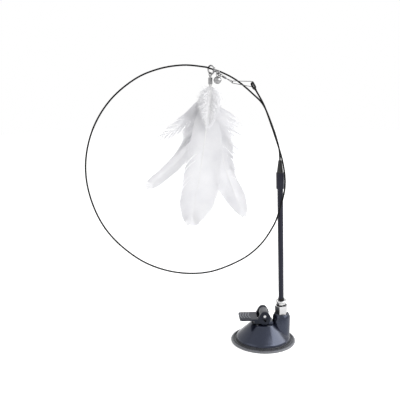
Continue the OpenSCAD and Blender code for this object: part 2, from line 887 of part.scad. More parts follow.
module end_eyelet() {
    color([0.09, 0.09, 0.10])
        translate(eyelet_at)
            rotate([0, -eyelet_lean, 0])
                difference() {
                    union() {
                        rotate([0, 0, eyelet_roll])
                            rotate([0, 90, 90])
                                translate([-(eyelet_l - eyelet_w) / 2, 0, 0])
                                    wire_link(eyelet_l - eyelet_w, eyelet_w / 2, eyelet_w / 2, eyelet_r);
                        translate([0, 0, eyelet_neck_z - eyelet_neck_l])
                            cylinder(h = eyelet_neck_l, r = eyelet_neck_r, $fn = fine);
                    }
                    translate([0, 0, eyelet_neck_z - eyelet_neck_l - over])
                        cylinder(h = eyelet_neck_l - eyelet_r + over, r = wire_r + run_gap, $fn = fine);
                }
}

// A chain piece's own axis: x along its heading, then turned about it
module along_heading(p, yaw, pitch, roll = 0) {
    translate(p)
        rotate([0, pitch, yaw])
            rotate([roll, 0, 0])
                children();
}

module snap_clip() {
    color([0.80, 0.80, 0.82])
        along_heading(snap_at, snap_yaw, snap_pitch, 90)
            wire_link(snap_l, snap_nose_r, snap_wide_r, snap_r);
}

module swivel_eye_snap() {
    color([0.74, 0.74, 0.76])
        along_heading(clasp_ring_point, swivel_yaw, swivel_pitch, snap_eye_roll)
            translate([snap_eye_x, 0, 0])
                rotate([0, 0, 180])
                    wire_eye(snap_eye_r, swivel_wire_r, snap_eye_neck);
}

module swivel_eye_ring() {
    color([0.74, 0.74, 0.76])
        along_heading(clasp_ring_point, swivel_yaw, swivel_pitch, ring_eye_roll)
            translate([ring_eye_x, 0, 0])
                wire_eye(ring_eye_r, swivel_wire_r, barrel_x - ring_eye_x);
}

module swivel_barrel() {
    color([0.35, 0.35, 0.37])
        along_heading(clasp_ring_point, swivel_yaw, swivel_pitch)
            translate([barrel_x, 0, 0])
                rotate([0, 90, 0])
                    difference() {
                        cylinder(h = barrel_l, r = barrel_r, $fn = fine);
                        translate([0, 0, barrel_wall])
                            cylinder(h = barrel_l - 2 * barrel_wall, r = barrel_r - barrel_wall, $fn = fine);
                        translate([0, 0, -over])
                            cylinder(h = barrel_l + 2 * over, r = swivel_wire_r + shank_gap, $fn = small);
                    }
}

module clasp_ring() {
    color([0.82, 0.82, 0.84])
        in_clasp_plane(clasp_ring_at)
            rotate([0, -clasp_ring_angle, 0])
                wire_ring(clasp_ring_r, ring_wire_r);
}

module clasp_body() {
    color([0.80, 0.80, 0.82])
        in_clasp_plane()
            difference() {
                union() {
                    rotate([90, 0, 0])
                        wire_arc(hook_r, hook_section_r, hook_start, hook_sweep);
                    translate(gate_reach * [cos(gate_angle), 0, sin(gate_angle)])
                        crosswise(knuckle_r, knuckle_w);
                    rotate([0, -tail_angle, 0])
                        translate([hook_r, -tail_t / 2, -bar_w / 2])
                            cube([tail_l - hook_r - tail_hole_r - tail_rim / 2, tail_t, bar_w]);
                    translate([tail_at[0], 0, tail_at[1]])
                        crosswise(tail_hole_r + tail_rim, tail_t);
                }
                translate([tail_at[0], 0, tail_at[1]])
                    crosswise(tail_hole_r, tail_t + 2 * over);
                rotate([0, -gate_angle, 0])
                    translate([gate_reach, 0, 0]) {
                        crosswise(gate_knuckle_r + fit_gap, slot_w);
                        translate([-knuckle_r - over, -slot_w / 2, 0])
                            cube([2 * (knuckle_r + over), slot_w, knuckle_r + over]);
                        crosswise(clasp_pin_r + run_gap, knuckle_w + 2 * over);
                    }
            }
}

module clasp_trigger() {
    color([0.78, 0.78, 0.80])
        in_clasp_plane()
            difference() {
                union() {
                    rotate([90, 0, 0])
                        wire_arc(hook_r, gate_r, gate_start, gate_sweep);
                    translate([gate_reach * cos(gate_angle), gate_knuckle_y, gate_reach * sin(gate_angle)])
                        crosswise(gate_knuckle_r, gate_knuckle_w);
                    rotate([0, -nub_angle, 0])
                        translate([hook_r, 0, 0])
                            rotate([0, 90, 0])
                                cylinder(h = nub_reach - hook_r, r = nub_r / 2, $fn = small);
                    rotate([0, -nub_angle, 0])
                        translate([nub_reach, 0, 0])
                            sphere(r = nub_r, $fn = small);
                    rotate([0, -gate_angle, 0])
                        translate([gate_reach - gate_knuckle_r, gate_knuckle_y - gate_knuckle_w / 2, 0])
                            cube([gate_knuckle_r, gate_knuckle_w, hook_r * sin(gate_start - gate_angle)]);
                }
                translate(gate_reach * [cos(gate_angle), 0, sin(gate_angle)])
                    crosswise(clasp_pin_r + run_gap, knuckle_w + 2 * over);
            }
}

module clasp_pin() {
    color([0.72, 0.72, 0.74])
        in_clasp_plane(gate_reach * [cos(gate_angle), sin(gate_angle)])
            crosswise(clasp_pin_r, knuckle_w);
}

module clasp_spring() {
    color([0.60, 0.60, 0.62])
        in_clasp_plane(gate_reach * [cos(gate_angle), sin(gate_angle)])
            translate([0, coil_y, 0])
                rotate([90, 0, 0])
                    wire_ring(coil_r, coil_wire_r);
}

module toy_ring() {
    color([0.82, 0.82, 0.84])
        in_clasp_plane(toy_ring_at)
            rotate([0, 90, 0])
                wire_ring(toy_ring_r, ring_wire_r);
}

module feather_crimp() {
    color([0.70, 0.70, 0.72])
        union() {
            in_clasp_plane(crimp_eye_at)
                rotate([90, 0, 0])
                    wire_ring(crimp_eye_r, ring_wire_r);
            translate(crimp_at)
                difference() {
                    translate([0, 0, -crimp_l])
                        cylinder(h = crimp_l, r = crimp_r, $fn = fine);
                    translate([0, 0, -crimp_l - over])
                        cylinder(h = crimp_l - crimp_cap + over, r = crimp_r - crimp_wall, $fn = fine);
                }
        }
}

// One side of a feather's outline, bowed sideways as it goes along
function feather_point(s, side, length, width, bow) =
    [side * (side < 0 ? s[1] : s[2]) * width + bow * s[0] * s[0], -s[0] * length];

// One side of the rachis, the stiff rib that thins towards the feather's tip
function rachis_point(k, side, length, bow) =
    let (t = rachis_share * k / rachis_steps)
    [bow * t * t + side * rachis_w / 2 * (1 - t), -t * length];

// A feather: its quill in the crimp's bore, then a vane that leans from the mouth
module feather(place, lean, tip_back, length, width, bow, shares) {
    quill_at = quill_ring_r * [cos(place), sin(place)];
    last_share = len(shares) - 1;
    translate([crimp_at[0] + quill_at[0], crimp_at[1] + quill_at[1], crimp_at[2] + mouth_z - quill_show]) {
        cylinder(h = quill_seat + quill_show, r = quill_r, $fn = small);
        sphere(r = quill_r, $fn = small);
        rotate([tip_back, 0, 0])
            rotate([0, lean, 0]) {
                upright(vane_t)
                    polygon(concat(
                        [for (s = shares) feather_point(s, -1, length, width, bow)],
                        [for (k = [last_share:-1:0]) feather_point(shares[k], 1, length, width, bow)]
                    ));
                upright(rachis_t)
                    polygon(concat(
                        [for (k = [0:rachis_steps]) rachis_point(k, -1, length, bow)],
                        [for (k = [rachis_steps:-1:0]) rachis_point(k, 1, length, bow)]
                    ));
            }
    }
}

module main_feather() {
    color([0.93, 0.93, 0.92])
        feather(200, 3, -2, main_feather_l, main_feather_w, -main_bow, main_shares);
}

module side_feather() {
    color([0.95, 0.95, 0.94])
        feather(344, -3, 2.5, side_feather_l, side_feather_w, side_bow, side_shares);
}

module thin_feather() {
    color([0.94, 0.94, 0.94])
        feather(56, 2, 5, thin_feather_l, thin_feather_w, -thin_bow, thin_shares);
}

module tuft_feather() {
    color([0.92, 0.92, 0.92])
        feather(128, 14, 9, tuft_l, tuft_w, -tuft_bow, tuft_shares);
}

module down_plume() {
    color([0.90, 0.90, 0.90])
        feather(272, 4, -10, down_l, down_w, 0, down_shares);
}

module bell_shell() {
    color([0.84, 0.84, 0.86])
        in_clasp_plane(bell_at)
            union() {
                difference() {
                    union() {
                        sphere(r = bell_r, $fn = smooth);
                        cylinder(h = bell_seam_t, r = bell_r + bell_seam_w, center = true, $fn = smooth);
                    }
                    sphere(r = bell_r - bell_wall, $fn = smooth);
                    for (turn = [0, 90])
                        rotate([0, 0, turn]) {
                            translate([-bell_r * bell_slot_share, -bell_slot_w / 2, -bell_r - over])
                                cube([2 * bell_r * bell_slot_share, bell_slot_w, bell_r]);
                            for (side = [-1, 1])
                                translate([side * bell_r * bell_slot_share, 0, -bell_r - over])
                                    cylinder(h = bell_r, r = bell_slot_hole, $fn = small);
                        }
                }
                translate([0, 0, bell_loop_at[1] - bell_at[1]])
                    rotate([0, 90, 0])
                        wire_ring(bell_loop_r, ring_wire_r);
            }
}

module bell_ball() {
    color([0.55, 0.55, 0.57])
        in_clasp_plane(bell_at - [0, ball_drop])
            sphere(r = ball_d / 2, $fn = fine);
}

suction_cup();
base_cover();
cup_stem();
lever_pin();
cam_lever();
socket_screw();
socket_washer();
hex_socket();
coupling_washer();
ferrule();
rod_grommet();
rod_tube();
tip_sleeve();
tip_cone();
spring_wire();
end_eyelet();
snap_clip();
swivel_eye_snap();
swivel_barrel();
swivel_eye_ring();
clasp_ring();
clasp_body();
clasp_trigger();
clasp_pin();
clasp_spring();
toy_ring();
feather_crimp();
main_feather();
side_feather();
thin_feather();
tuft_feather();
down_plume();
bell_shell();
bell_ball();
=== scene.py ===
import json
import math
import random

import bmesh
import bpy
import numpy as np
from mathutils import Matrix, Vector


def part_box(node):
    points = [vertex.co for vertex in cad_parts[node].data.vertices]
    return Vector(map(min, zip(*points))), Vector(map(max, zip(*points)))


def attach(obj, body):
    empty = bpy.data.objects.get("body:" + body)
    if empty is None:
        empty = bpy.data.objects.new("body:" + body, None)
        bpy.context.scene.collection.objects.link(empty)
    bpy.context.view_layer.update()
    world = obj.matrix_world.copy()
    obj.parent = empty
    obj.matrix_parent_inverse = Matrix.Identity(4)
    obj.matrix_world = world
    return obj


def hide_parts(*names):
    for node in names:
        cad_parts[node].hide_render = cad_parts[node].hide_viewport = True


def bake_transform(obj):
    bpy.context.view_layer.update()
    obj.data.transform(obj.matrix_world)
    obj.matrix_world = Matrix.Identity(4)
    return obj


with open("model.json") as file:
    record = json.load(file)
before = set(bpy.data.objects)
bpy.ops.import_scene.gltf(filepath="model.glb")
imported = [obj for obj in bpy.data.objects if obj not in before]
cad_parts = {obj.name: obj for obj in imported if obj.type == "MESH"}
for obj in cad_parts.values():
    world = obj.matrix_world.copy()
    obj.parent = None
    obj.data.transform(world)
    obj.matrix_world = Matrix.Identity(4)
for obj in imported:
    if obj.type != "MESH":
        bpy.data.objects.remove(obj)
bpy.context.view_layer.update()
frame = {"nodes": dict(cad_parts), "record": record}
NODES = frame["nodes"]
BODIES = frame["record"]["behaviour"]["bodies"]
MM = 0.001
scene = bpy.context.scene
scene.view_settings.view_transform = "Standard"

# Camera at the photograph's viewing angle
LOOK_DOWN, TURN = 15.2, -3.1
camera_data = bpy.data.cameras.new("photo_camera")
camera_data.sensor_width = 36
camera_data.lens = 72
camera_data.clip_start = 0.01
camera = bpy.data.objects.new("photo_camera", camera_data)
camera.location = (-0.1005, -0.715, 0.337)
camera.rotation_euler = (math.radians(90 - LOOK_DOWN), 0, math.radians(TURN))
scene.collection.objects.link(camera)
scene.camera = camera


def lamp(name, place, target, width, height, power, along=None):
    """A rectangular softbox facing a target, its width laid along a direction if one is given."""
    data = bpy.data.lights.new(name, "AREA")
    data.shape = "RECTANGLE"
    data.size = width
    data.size_y = height
    data.energy = power
    ob = bpy.data.objects.new(name, data)
    ob.location = place
    ob.rotation_euler = (Vector(target) - Vector(place)).to_track_quat("-Z", "Y").to_euler()
    if along:
        z = (Vector(place) - Vector(target)).normalized()
        x = Vector(along)
        x = (x - z * x.dot(z)).normalized()
        ob.rotation_euler = Matrix((x, z.cross(x), z)).transposed().to_euler()
    scene.collection.objects.link(ob)


lamp("softbox_right", (0.52, -0.13, 0.47), (0.0, 0.0, 0.02), 0.84, 0.42, 4.5, along=(0.48, 1.03, -0.05))
lamp("softbox_left", (-0.90, -0.55, 0.60), (-0.03, 0.0, 0.14), 0.80, 0.80, 1.3)
lamp("softbox_top", (0.22, -0.38, 0.56), (0.0, -0.02, 0.01), 0.44, 0.24, 0.5)
lamp("softbox_back", (0.10, 0.75, 0.95), (-0.03, 0.0, 0.14), 0.80, 0.80, 2.8)


def shader_tree(tree):
    """Empties a node tree and returns its two short calls: add a node, join two sockets."""
    tree.nodes.clear()

    def add(kind, **values):
        node = tree.nodes.new(kind)
        for key, value in values.items():
            if hasattr(node, key):
                setattr(node, key, value)
            else:
                node.inputs[key.replace("_", " ")].default_value = value
        return node

    return add, tree.links.new


def seen_rays(add, join):
    """1 where the camera, a reflection or a refraction sees the surface, 0 where it only lights."""
    path = add("ShaderNodeLightPath")
    two = add("ShaderNodeMath", operation="MAXIMUM")
    three = add("ShaderNodeMath", operation="MAXIMUM")
    join(path.outputs["Is Camera Ray"], two.inputs[0])
    join(path.outputs["Is Glossy Ray"], two.inputs[1])
    join(two.outputs[0], three.inputs[0])
    join(path.outputs["Is Transmission Ray"], three.inputs[1])
    return three.outputs[0]


WORLD_LIGHT, WORLD_SEEN = 0.56, 1.0
world = bpy.data.worlds.new("studio")
scene.world = world
world.use_nodes = True
add, join = shader_tree(world.node_tree)
strength = add("ShaderNodeMapRange")
strength.inputs["To Min"].default_value = WORLD_LIGHT
strength.inputs["To Max"].default_value = WORLD_SEEN
sky = add("ShaderNodeBackground", Color=(1, 1, 1, 1))
out = add("ShaderNodeOutputWorld")
join(seen_rays(add, join), strength.inputs["Value"])
join(strength.outputs[0], sky.inputs["Strength"])
join(sky.outputs[0], out.inputs["Surface"])

# Floor paper, which glows a little for the rays that see it, more so towards its edge
FLOOR_R, FLOOR_SIDES, GLOW_FROM = 1.2, 96, 0.15
GLOW_NEAR, GLOW_FAR = 0.42, 0.60
floor_mesh = bpy.data.meshes.new("floor")
bm = bmesh.new()
bmesh.ops.create_circle(bm, cap_ends=True, radius=FLOOR_R, segments=FLOOR_SIDES)
bm.to_mesh(floor_mesh)
bm.free()
floor = bpy.data.objects.new("floor", floor_mesh)
floor.location.z = -0.2 * MM
scene.collection.objects.link(floor)
floor_mat = bpy.data.materials.new("floor_paper")
floor_mat.use_nodes = True
add, join = shader_tree(floor_mat.node_tree)
place = add("ShaderNodeTexCoord")
reach = add("ShaderNodeVectorMath", operation="LENGTH")
lift = add("ShaderNodeMapRange")
lift.inputs["From Min"].default_value = GLOW_FROM
lift.inputs["From Max"].default_value = FLOOR_R
lift.inputs["To Min"].default_value = GLOW_NEAR
lift.inputs["To Max"].default_value = GLOW_FAR
shown = add("ShaderNodeMath", operation="MULTIPLY")
paper = add("ShaderNodeBsdfPrincipled", Roughness=0.9)
paper.inputs["Base Color"].default_value = (0.86, 0.86, 0.86, 1)
paper.inputs["Specular IOR Level"].default_value = 0.0
paper.inputs["Emission Color"].default_value = (1, 1, 1, 1)
out = add("ShaderNodeOutputMaterial")
join(place.outputs["Object"], reach.inputs[0])
join(reach.outputs["Value"], lift.inputs["Value"])
join(lift.outputs[0], shown.inputs[0])
join(seen_rays(add, join), shown.inputs[1])
join(shown.outputs[0], paper.inputs["Emission Strength"])
join(paper.outputs[0], out.inputs["Surface"])
floor_mesh.materials.append(floor_mat)


FINE_SHARE = 0.4  # of the fine noise in a colour, the wide one has the rest
TONES = (0.32, 0.68)  # the noise between which the dark tone turns into the light one
NOISE_SPAN = (0.3, 0.7)  # the noise over which the roughness spreads


def material(name, dark, light, rough, grain=60.0, rough_spread=0.06, bump=0.1, bump_grain=400.0,
             bump_size=0.05, metal=0.0, stretch=(1, 1, 1), patches=60.0, sockets=None, highlight_band=None, through=0.0):
    """Colour between two tones by a fine and a wide noise, roughness by the fine one, bump in mm.

    The band (from, to, end, colour) is a painted highlight: between two heights in mm the colour turns to that
    lighter one, short of x = end.
    through is the share of translucency that a thin sheet's look has.
    """
    m = bpy.data.materials.new(name)
    m.use_nodes = True
    add, join = shader_tree(m.node_tree)
    place = add("ShaderNodeTexCoord")
    scale = add("ShaderNodeVectorMath", operation="MULTIPLY")
    scale.inputs[1].default_value = stretch
    fine = add("ShaderNodeTexNoise", Scale=grain, Detail=5.0, Roughness=0.6)
    wide = add("ShaderNodeTexNoise", Scale=patches, Detail=2.0)
    mix = add("ShaderNodeMath", operation="MULTIPLY_ADD")
    mix.inputs[1].default_value = FINE_SHARE
    rest = add("ShaderNodeMath", operation="MULTIPLY")
    rest.inputs[1].default_value = 1 - FINE_SHARE
    ramp = add("ShaderNodeValToRGB")
    for stop, position, colour in zip(ramp.color_ramp.elements, TONES, (dark, light)):
        stop.position = position
        stop.color = (*colour, 1)
    matt = add("ShaderNodeMapRange")
    matt.inputs["From Min"].default_value, matt.inputs["From Max"].default_value = NOISE_SPAN
    matt.inputs["To Min"].default_value = max(0.02, rough - rough_spread)
    matt.inputs["To Max"].default_value = min(1.0, rough + rough_spread)
    skin = add("ShaderNodeTexNoise", Scale=bump_grain, Detail=3.0)
    relief = add("ShaderNodeBump", Strength=bump, Distance=bump_size * MM)
    shader = add("ShaderNodeBsdfPrincipled", Metallic=metal)
    out = add("ShaderNodeOutputMaterial")
    join(place.outputs["Object"], scale.inputs[0])
    for tex in (fine, wide, skin):
        join(scale.outputs[0], tex.inputs["Vector"])
    join(fine.outputs[0], mix.inputs[0])
    join(wide.outputs[0], rest.inputs[0])
    join(rest.outputs[0], mix.inputs[2])
    join(mix.outputs[0], ramp.inputs[0])
    join(fine.outputs[0], matt.inputs["Value"])
    join(skin.outputs[0], relief.inputs["Height"])
    join(ramp.outputs[0], shader.inputs["Base Color"])
    # Painted highlight: over a band of heights the colour turns to a lighter one
    if highlight_band:
        start, full, end, highlight_colour = highlight_band
        axes = add("ShaderNodeSeparateXYZ")
        highlight_by_height, near = add("ShaderNodeMapRange"), add("ShaderNodeMath", operation="LESS_THAN")
        both = add("ShaderNodeMath", operation="MULTIPLY")
        blend = add("ShaderNodeMixRGB")
        highlight_by_height.inputs["From Min"].default_value = start * MM
        highlight_by_height.inputs["From Max"].default_value = full * MM
        near.inputs[1].default_value = end * MM
        blend.inputs["Color2"].default_value = (*highlight_colour, 1)
        join(place.outputs["Object"], axes.inputs[0])
        join(axes.outputs["Z"], highlight_by_height.inputs["Value"])
        join(axes.outputs["X"], near.inputs[0])
        join(highlight_by_height.outputs[0], both.inputs[0])
        join(near.outputs[0], both.inputs[1])
        join(both.outputs[0], blend.inputs["Fac"])
        join(ramp.outputs[0], blend.inputs["Color1"])
        join(blend.outputs[0], shader.inputs["Base Color"])
    join(matt.outputs[0], shader.inputs["Roughness"])
    join(relief.outputs[0], shader.inputs["Normal"])
    for key, value in (sockets or {}).items():
        shader.inputs[key].default_value = value
    if through:
        thin_sheet = add("ShaderNodeBsdfTranslucent")
        share = add("ShaderNodeMixShader", Fac=through)
        join(ramp.outputs[0], thin_sheet.inputs["Color"])
        join(shader.outputs[0], share.inputs[1])
        join(thin_sheet.outputs[0], share.inputs[2])
        join(share.outputs[0], out.inputs["Surface"])
    else:
        join(shader.outputs[0], out.inputs["Surface"])
    return m


M = {
    # cup_rubber: painted highlight, lighter on the lip from 1.85 mm height down, full below 1.65 mm
    "cup_rubber": material("cup_rubber_look", (0.020, 0.022, 0.028), (0.036, 0.038, 0.046), 0.30, 900, 0.06, 0.3,
                           2500, 0.02, sockets={"Specular IOR Level": 0.45},
                           highlight_band=(1.85, 1.65, 100, (0.15, 0.155, 0.17))),
    "base_plastic": material("base_plastic_look", (0.0025, 0.0035, 0.009), (0.0050, 0.0062, 0.016), 0.20, 700, 0.03,
                             0.2, 3000, 0.008, sockets={"Specular IOR Level": 0.80,
                                                        "Specular Tint": (0.66, 0.73, 0.94, 1)}),
    # lever_plastic: painted highlight, lighter on the grip's rib tops between 25.72 and 26.1 mm height, short of x =
    # -11.5 mm
    "lever_plastic": material("lever_plastic_look", (0.0020, 0.0025, 0.006), (0.0045, 0.0052, 0.011), 0.34, 700, 0.04,
                              0.2, 3000, 0.008, sockets={"Specular IOR Level": 0.32,
                                                         "Specular Tint": (0.75, 0.82, 1.0, 1)},
                              highlight_band=(25.72, 26.1, -11.5, (0.13, 0.137, 0.155))),
    "stem_plastic": material("stem_plastic_look", (0.05, 0.053, 0.062), (0.08, 0.084, 0.095), 0.38, 800, 0.05, 0.2,
                             3000, 0.01),
    "rod_plastic": material("rod_plastic_look", (0.004, 0.004, 0.008), (0.009, 0.009, 0.017), 0.38, 500, 0.05, 0.3,
                            2500, 0.01, stretch=(1, 1, 0.12),
                            sockets={"Specular IOR Level": 0.35, "Specular Tint": (0.8, 0.82, 1.0, 1)}),
    "tip_plastic": material("tip_plastic_look", (0.005, 0.005, 0.006), (0.010, 0.010, 0.012), 0.22, 900, 0.04, 0.2,
                            3000, 0.006),
    "wire_coating": material("wire_coating_look", (0.0012, 0.0012, 0.0016), (0.003, 0.003, 0.0035), 0.55, 900, 0.05,
                             0.3, 3000, 0.01, sockets={"Specular IOR Level": 0.12}),
    "black_rubber": material("black_rubber_look", (0.004, 0.004, 0.005), (0.010, 0.010, 0.011), 0.6, 900, 0.1, 0.5,
                             3000, 0.02, sockets={"Specular IOR Level": 0.3}),
    "bright_steel": material("bright_steel_look", (0.38, 0.38, 0.385), (0.58, 0.58, 0.585), 0.17, 1500, 0.05, 0.12,
                             4000, 0.006, metal=1.0),
    "plain_steel": material("plain_steel_look", (0.36, 0.36, 0.37), (0.56, 0.56, 0.57), 0.3, 1500, 0.08, 0.2, 4000,
                            0.008, metal=1.0),
    "nickel": material("nickel_look", (0.48, 0.475, 0.465), (0.74, 0.735, 0.72), 0.18, 1500, 0.06, 0.12, 4000, 0.006,
                       metal=1.0),
    "dark_nickel": material("dark_nickel_look", (0.06, 0.06, 0.065), (0.14, 0.14, 0.145), 0.28, 1500, 0.08, 0.15,
                            4000, 0.006, metal=1.0),
    "feather": material("feather_look", (0.84, 0.84, 0.86), (0.92, 0.92, 0.93), 0.7, 1200, 0.1, 0.2, 2500, 0.02,
                        patches=90, sockets={"Specular IOR Level": 0.15}, through=0.35),
    "down": material("down_look", (0.90, 0.90, 0.91), (0.95, 0.95, 0.96), 0.8, 1200, 0.1, 0.2, 2500, 0.02,
                     patches=90, sockets={"Specular IOR Level": 0.1}, through=0.35),
    "chain_steel": material("chain_steel_look", (0.04, 0.04, 0.042), (0.11, 0.11, 0.115), 0.26, 1500, 0.06, 0.15,
                            4000, 0.006, metal=1.0),
    "chain_nickel": material("chain_nickel_look", (0.16, 0.16, 0.165), (0.36, 0.36, 0.365), 0.24, 1500, 0.06, 0.15,
                             4000, 0.006, metal=1.0),
    "quill": material("quill_look", (0.86, 0.86, 0.85), (0.93, 0.93, 0.92), 0.3, 800, 0.08, 0.15, 2500, 0.01,
                      sockets={"Specular IOR Level": 0.5}),
}
# The hanging metal pieces are duller than the coupling's
WORN = {"bright_steel": "chain_steel", "nickel": "chain_nickel"}
HANGING = {node for body in ("chain", "trigger", "ring", "toy", "bell") for node in BODIES[body]}
for ob in NODES.values():
    for s in ob.material_slots:
        name = s.material.name
        s.material = M[WORN.get(name, name) if ob.name in HANGING else name]


def piece(name, verts, faces, look, body, slot, *nodes, smooth=True):
    """A mesh object in metres on a body, or left unparented where the body is not a name, that stands for the nodes
    named.
    """
    mesh = bpy.data.meshes.new(name)
    mesh.from_pydata([tuple(v) for v in verts], [], [tuple(f) for f in faces])
    mesh.update()
    if smooth:
        mesh.polygons.foreach_set("use_smooth", [True] * len(mesh.polygons))
    mesh.materials.append(M[look])
    ob = bpy.data.objects.new(name, mesh)
    scene.collection.objects.link(ob)
    if isinstance(body, str):
        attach(ob, body)
    else:
        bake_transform(ob)
    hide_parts(*nodes)


def lathe(profile, steps):
    """Turns a run of (radius, height) in mm about the z axis."""
    verts, faces, n = [], [], len(profile)
    for k in range(steps):
        a = 2 * math.pi * k / steps
        verts += [(r * MM * math.cos(a), r * MM * math.sin(a), z * MM) for r, z in profile]
    for k in range(steps):
        b = (k + 1) % steps
        faces += [(k * n + i, b * n + i, b * n + i + 1, k * n + i + 1) for i in range(n - 1)]
    return verts, faces


def rounded_run(points, radius, steps=4):
    """A run of (radius, height) whose inner corners are rounded, each by no more than it has room for."""
    pts = [Vector(p) for p in points]
    out = [tuple(pts[0])]
    for i in range(1, len(pts) - 1):
        p, a, b = pts[i], pts[i - 1], pts[i + 1]
        ra = min(radius, 0.45 * (a - p).length)
        rb = min(radius, 0.45 * (b - p).length)
        s, e = p + (a - p).normalized() * ra, p + (b - p).normalized() * rb
        for k in range(steps + 1):
            t = k / steps
            out.append(tuple(s * (1 - t) ** 2 + p * 2 * t * (1 - t) + e * t * t))
    return out + [tuple(pts[-1])]


def sweep(points, radii, sides):
    """A closed tube along points in mm, with one radius for each, and frames carried along without twist."""
    pts = [Vector(p) * MM for p in points]
    n = len(pts)
    tang = [(pts[min(i + 1, n - 1)] - pts[max(i - 1, 0)]).normalized() for i in range(n)]
    side = tang[0].orthogonal().normalized()
    verts, faces = [], []
    for i in range(n):
        side = (side - tang[i] * side.dot(tang[i])).normalized()
        other = tang[i].cross(side)
        r = radii[i] * MM
        for k in range(sides):
            a = 2 * math.pi * k / sides
            verts.append(pts[i] + side * (r * math.cos(a)) + other * (r * math.sin(a)))
    for i in range(n - 1):
        for k in range(sides):
            a, b = i * sides + k, i * sides + (k + 1) % sides
            faces.append((a, b, b + sides, a + sides))
    faces.append(tuple(range(sides))[::-1])
    faces.append(tuple((n - 1) * sides + k for k in range(sides)))
    return verts, faces


def spline(points, steps):
    """The Catmull-Rom curve through points, straight on past both ends."""
    p = [Vector(q) for q in points]
    p = [2 * p[0] - p[1]] + p + [2 * p[-1] - p[-2]]
    out = []
    for i in range(1, len(p) - 2):
        a, b, c, d = p[i - 1], p[i], p[i + 1], p[i + 2]
        for k in range(steps):
            t = k / steps
            out.append(0.5 * (2 * b + (c - a) * t + (2 * a - 5 * b + 4 * c - d) * t * t
                              + (3 * b - a - 3 * c + d) * t ** 3))
    return out + [p[-2]]


EASE_ANGLE, FLAT_ANGLE, EASE_STEPS, SAME_POINT = 28, 0.6, 3, 1e-6


def eased(node, body, look, width):
    """A copy of a rigid CAD solid with its sharp moulded edges eased, in the node's place."""
    bm = bmesh.new()
    bm.from_mesh(NODES[node].data)
    bmesh.ops.remove_doubles(bm, verts=bm.verts, dist=SAME_POINT)
    bmesh.ops.dissolve_limit(bm, angle_limit=math.radians(FLAT_ANGLE), verts=bm.verts, edges=bm.edges)
    mesh = bpy.data.meshes.new(node + "_eased")
    bm.to_mesh(mesh)
    bm.free()
    mesh.polygons.foreach_set("use_smooth", [True] * len(mesh.polygons))
    mesh.materials.append(M[look])
    ob = bpy.data.objects.new(node + "_eased", mesh)
    scene.collection.objects.link(ob)
    mod = ob.modifiers.new("ease", "BEVEL")
    mod.width = width * MM
    mod.segments = EASE_STEPS
    mod.limit_method = "ANGLE"
    mod.angle_limit = math.radians(EASE_ANGLE)
    mod.harden_normals = True
    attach(ob, body)
    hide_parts(node)


# Suction cup: a rim that stays on the surface, a hub on the stem's foot, and two skins between them
CUP_R, SEAM_R, FLAT_R, HOLLOW_RUN = 31.2, 23.1, 27.0, 19
HUB_R, HUB_Z, NECK_R, SKIN = 9.5, 3.8, 9.2, 0.9
UNDER_Z = HUB_Z * (FLAT_R - SEAM_R) / HOLLOW_RUN
RIM_STEPS, HUB_STEPS = 160, 96
rim_run = rounded_run([
    (SEAM_R, 3.2), (26.5, 3.2), (27.0, 1.5), (27.85, 1.35), (28.1, 2.55), (28.45, 2.75), (28.8, 2.6),
    (29.1, 1.1), (29.5, 1.0), (29.75, 1.6), (30.6, 1.5), (30.8, 0.95), (31.05, 0.85), (CUP_R, 0.5), (31.05, 0.02),
    (29.4, 0.0), (29.2, 0.18), (28.9, 0.0), (28.4, 0.0), (28.2, 0.18), (27.9, 0.0), (FLAT_R, 0.0),
    (SEAM_R, UNDER_Z)], 0.35)
verts, faces = lathe(rim_run, RIM_STEPS)
piece("cup_rim", verts, faces, "cup_rubber", "base", "cup_rubber", "suction_cup")
hub_run = rounded_run([
    (0.01, HUB_Z), (HUB_R, HUB_Z), (HUB_R, 8.4), (4.5, 8.4), (4.5, 7.2), (8.3, 7.2), (8.3, 5.0), (0.01, 5.0)], 0.3)
verts, faces = lathe(hub_run, HUB_STEPS)
piece("cup_hub", verts, faces, "cup_rubber", "stem", "cup_rubber", "suction_cup")
skins = {
    "cup_membrane_under": [(SEAM_R, UNDER_Z), (NECK_R, 3.7), (NECK_R, 4.7), (SEAM_R, UNDER_Z + SKIN)],
    "cup_membrane_top": [(SEAM_R, 2.3), (NECK_R, 7.2), (NECK_R, 8.3), (10.2, 8.3), (SEAM_R, 3.2)]}
for name, run in skins.items():
    (_, low), (_, high) = run[:2]  # the heights of a skin's first two points, given with its two bodies
    verts, faces = lathe(rounded_run(run, 0.2), HUB_STEPS)
    piece(name, verts, faces, "cup_rubber", ("base", "stem", low, high), "cup_rubber", "suction_cup")

for node, body, look, width in [
        ("base_cover", "base", "base_plastic", 0.35), ("cam_lever", "lever", "lever_plastic", 0.35),
        ("hex_socket", "base", "bright_steel", 0.25), ("cup_stem", "stem", "stem_plastic", 0.2),
        ("ferrule", "rod", "bright_steel", 0.2), ("tip_sleeve", "rod", "rod_plastic", 0.25)]:
    eased(node, body, look, width)

# Coated spring wire along the part's own route, in shares of the loop from the rod's tip
WIRE_R, WIRE_SIDES, ROUTE_STEPS = 0.76, 14, 8
LOOP_W, STANDOFF, LOOP_H = 183, 4.6, 196
ROD_X, ROD_Z, ROD_TIP = 17.4, 22, 157.2
LEAN = math.radians(2)


def on_rod(w):
    """The point on the rod's axis w mm up from its foot."""
    return Vector((ROD_X - math.sin(LEAN) * w, 0, ROD_Z + math.cos(LEAN) * w))


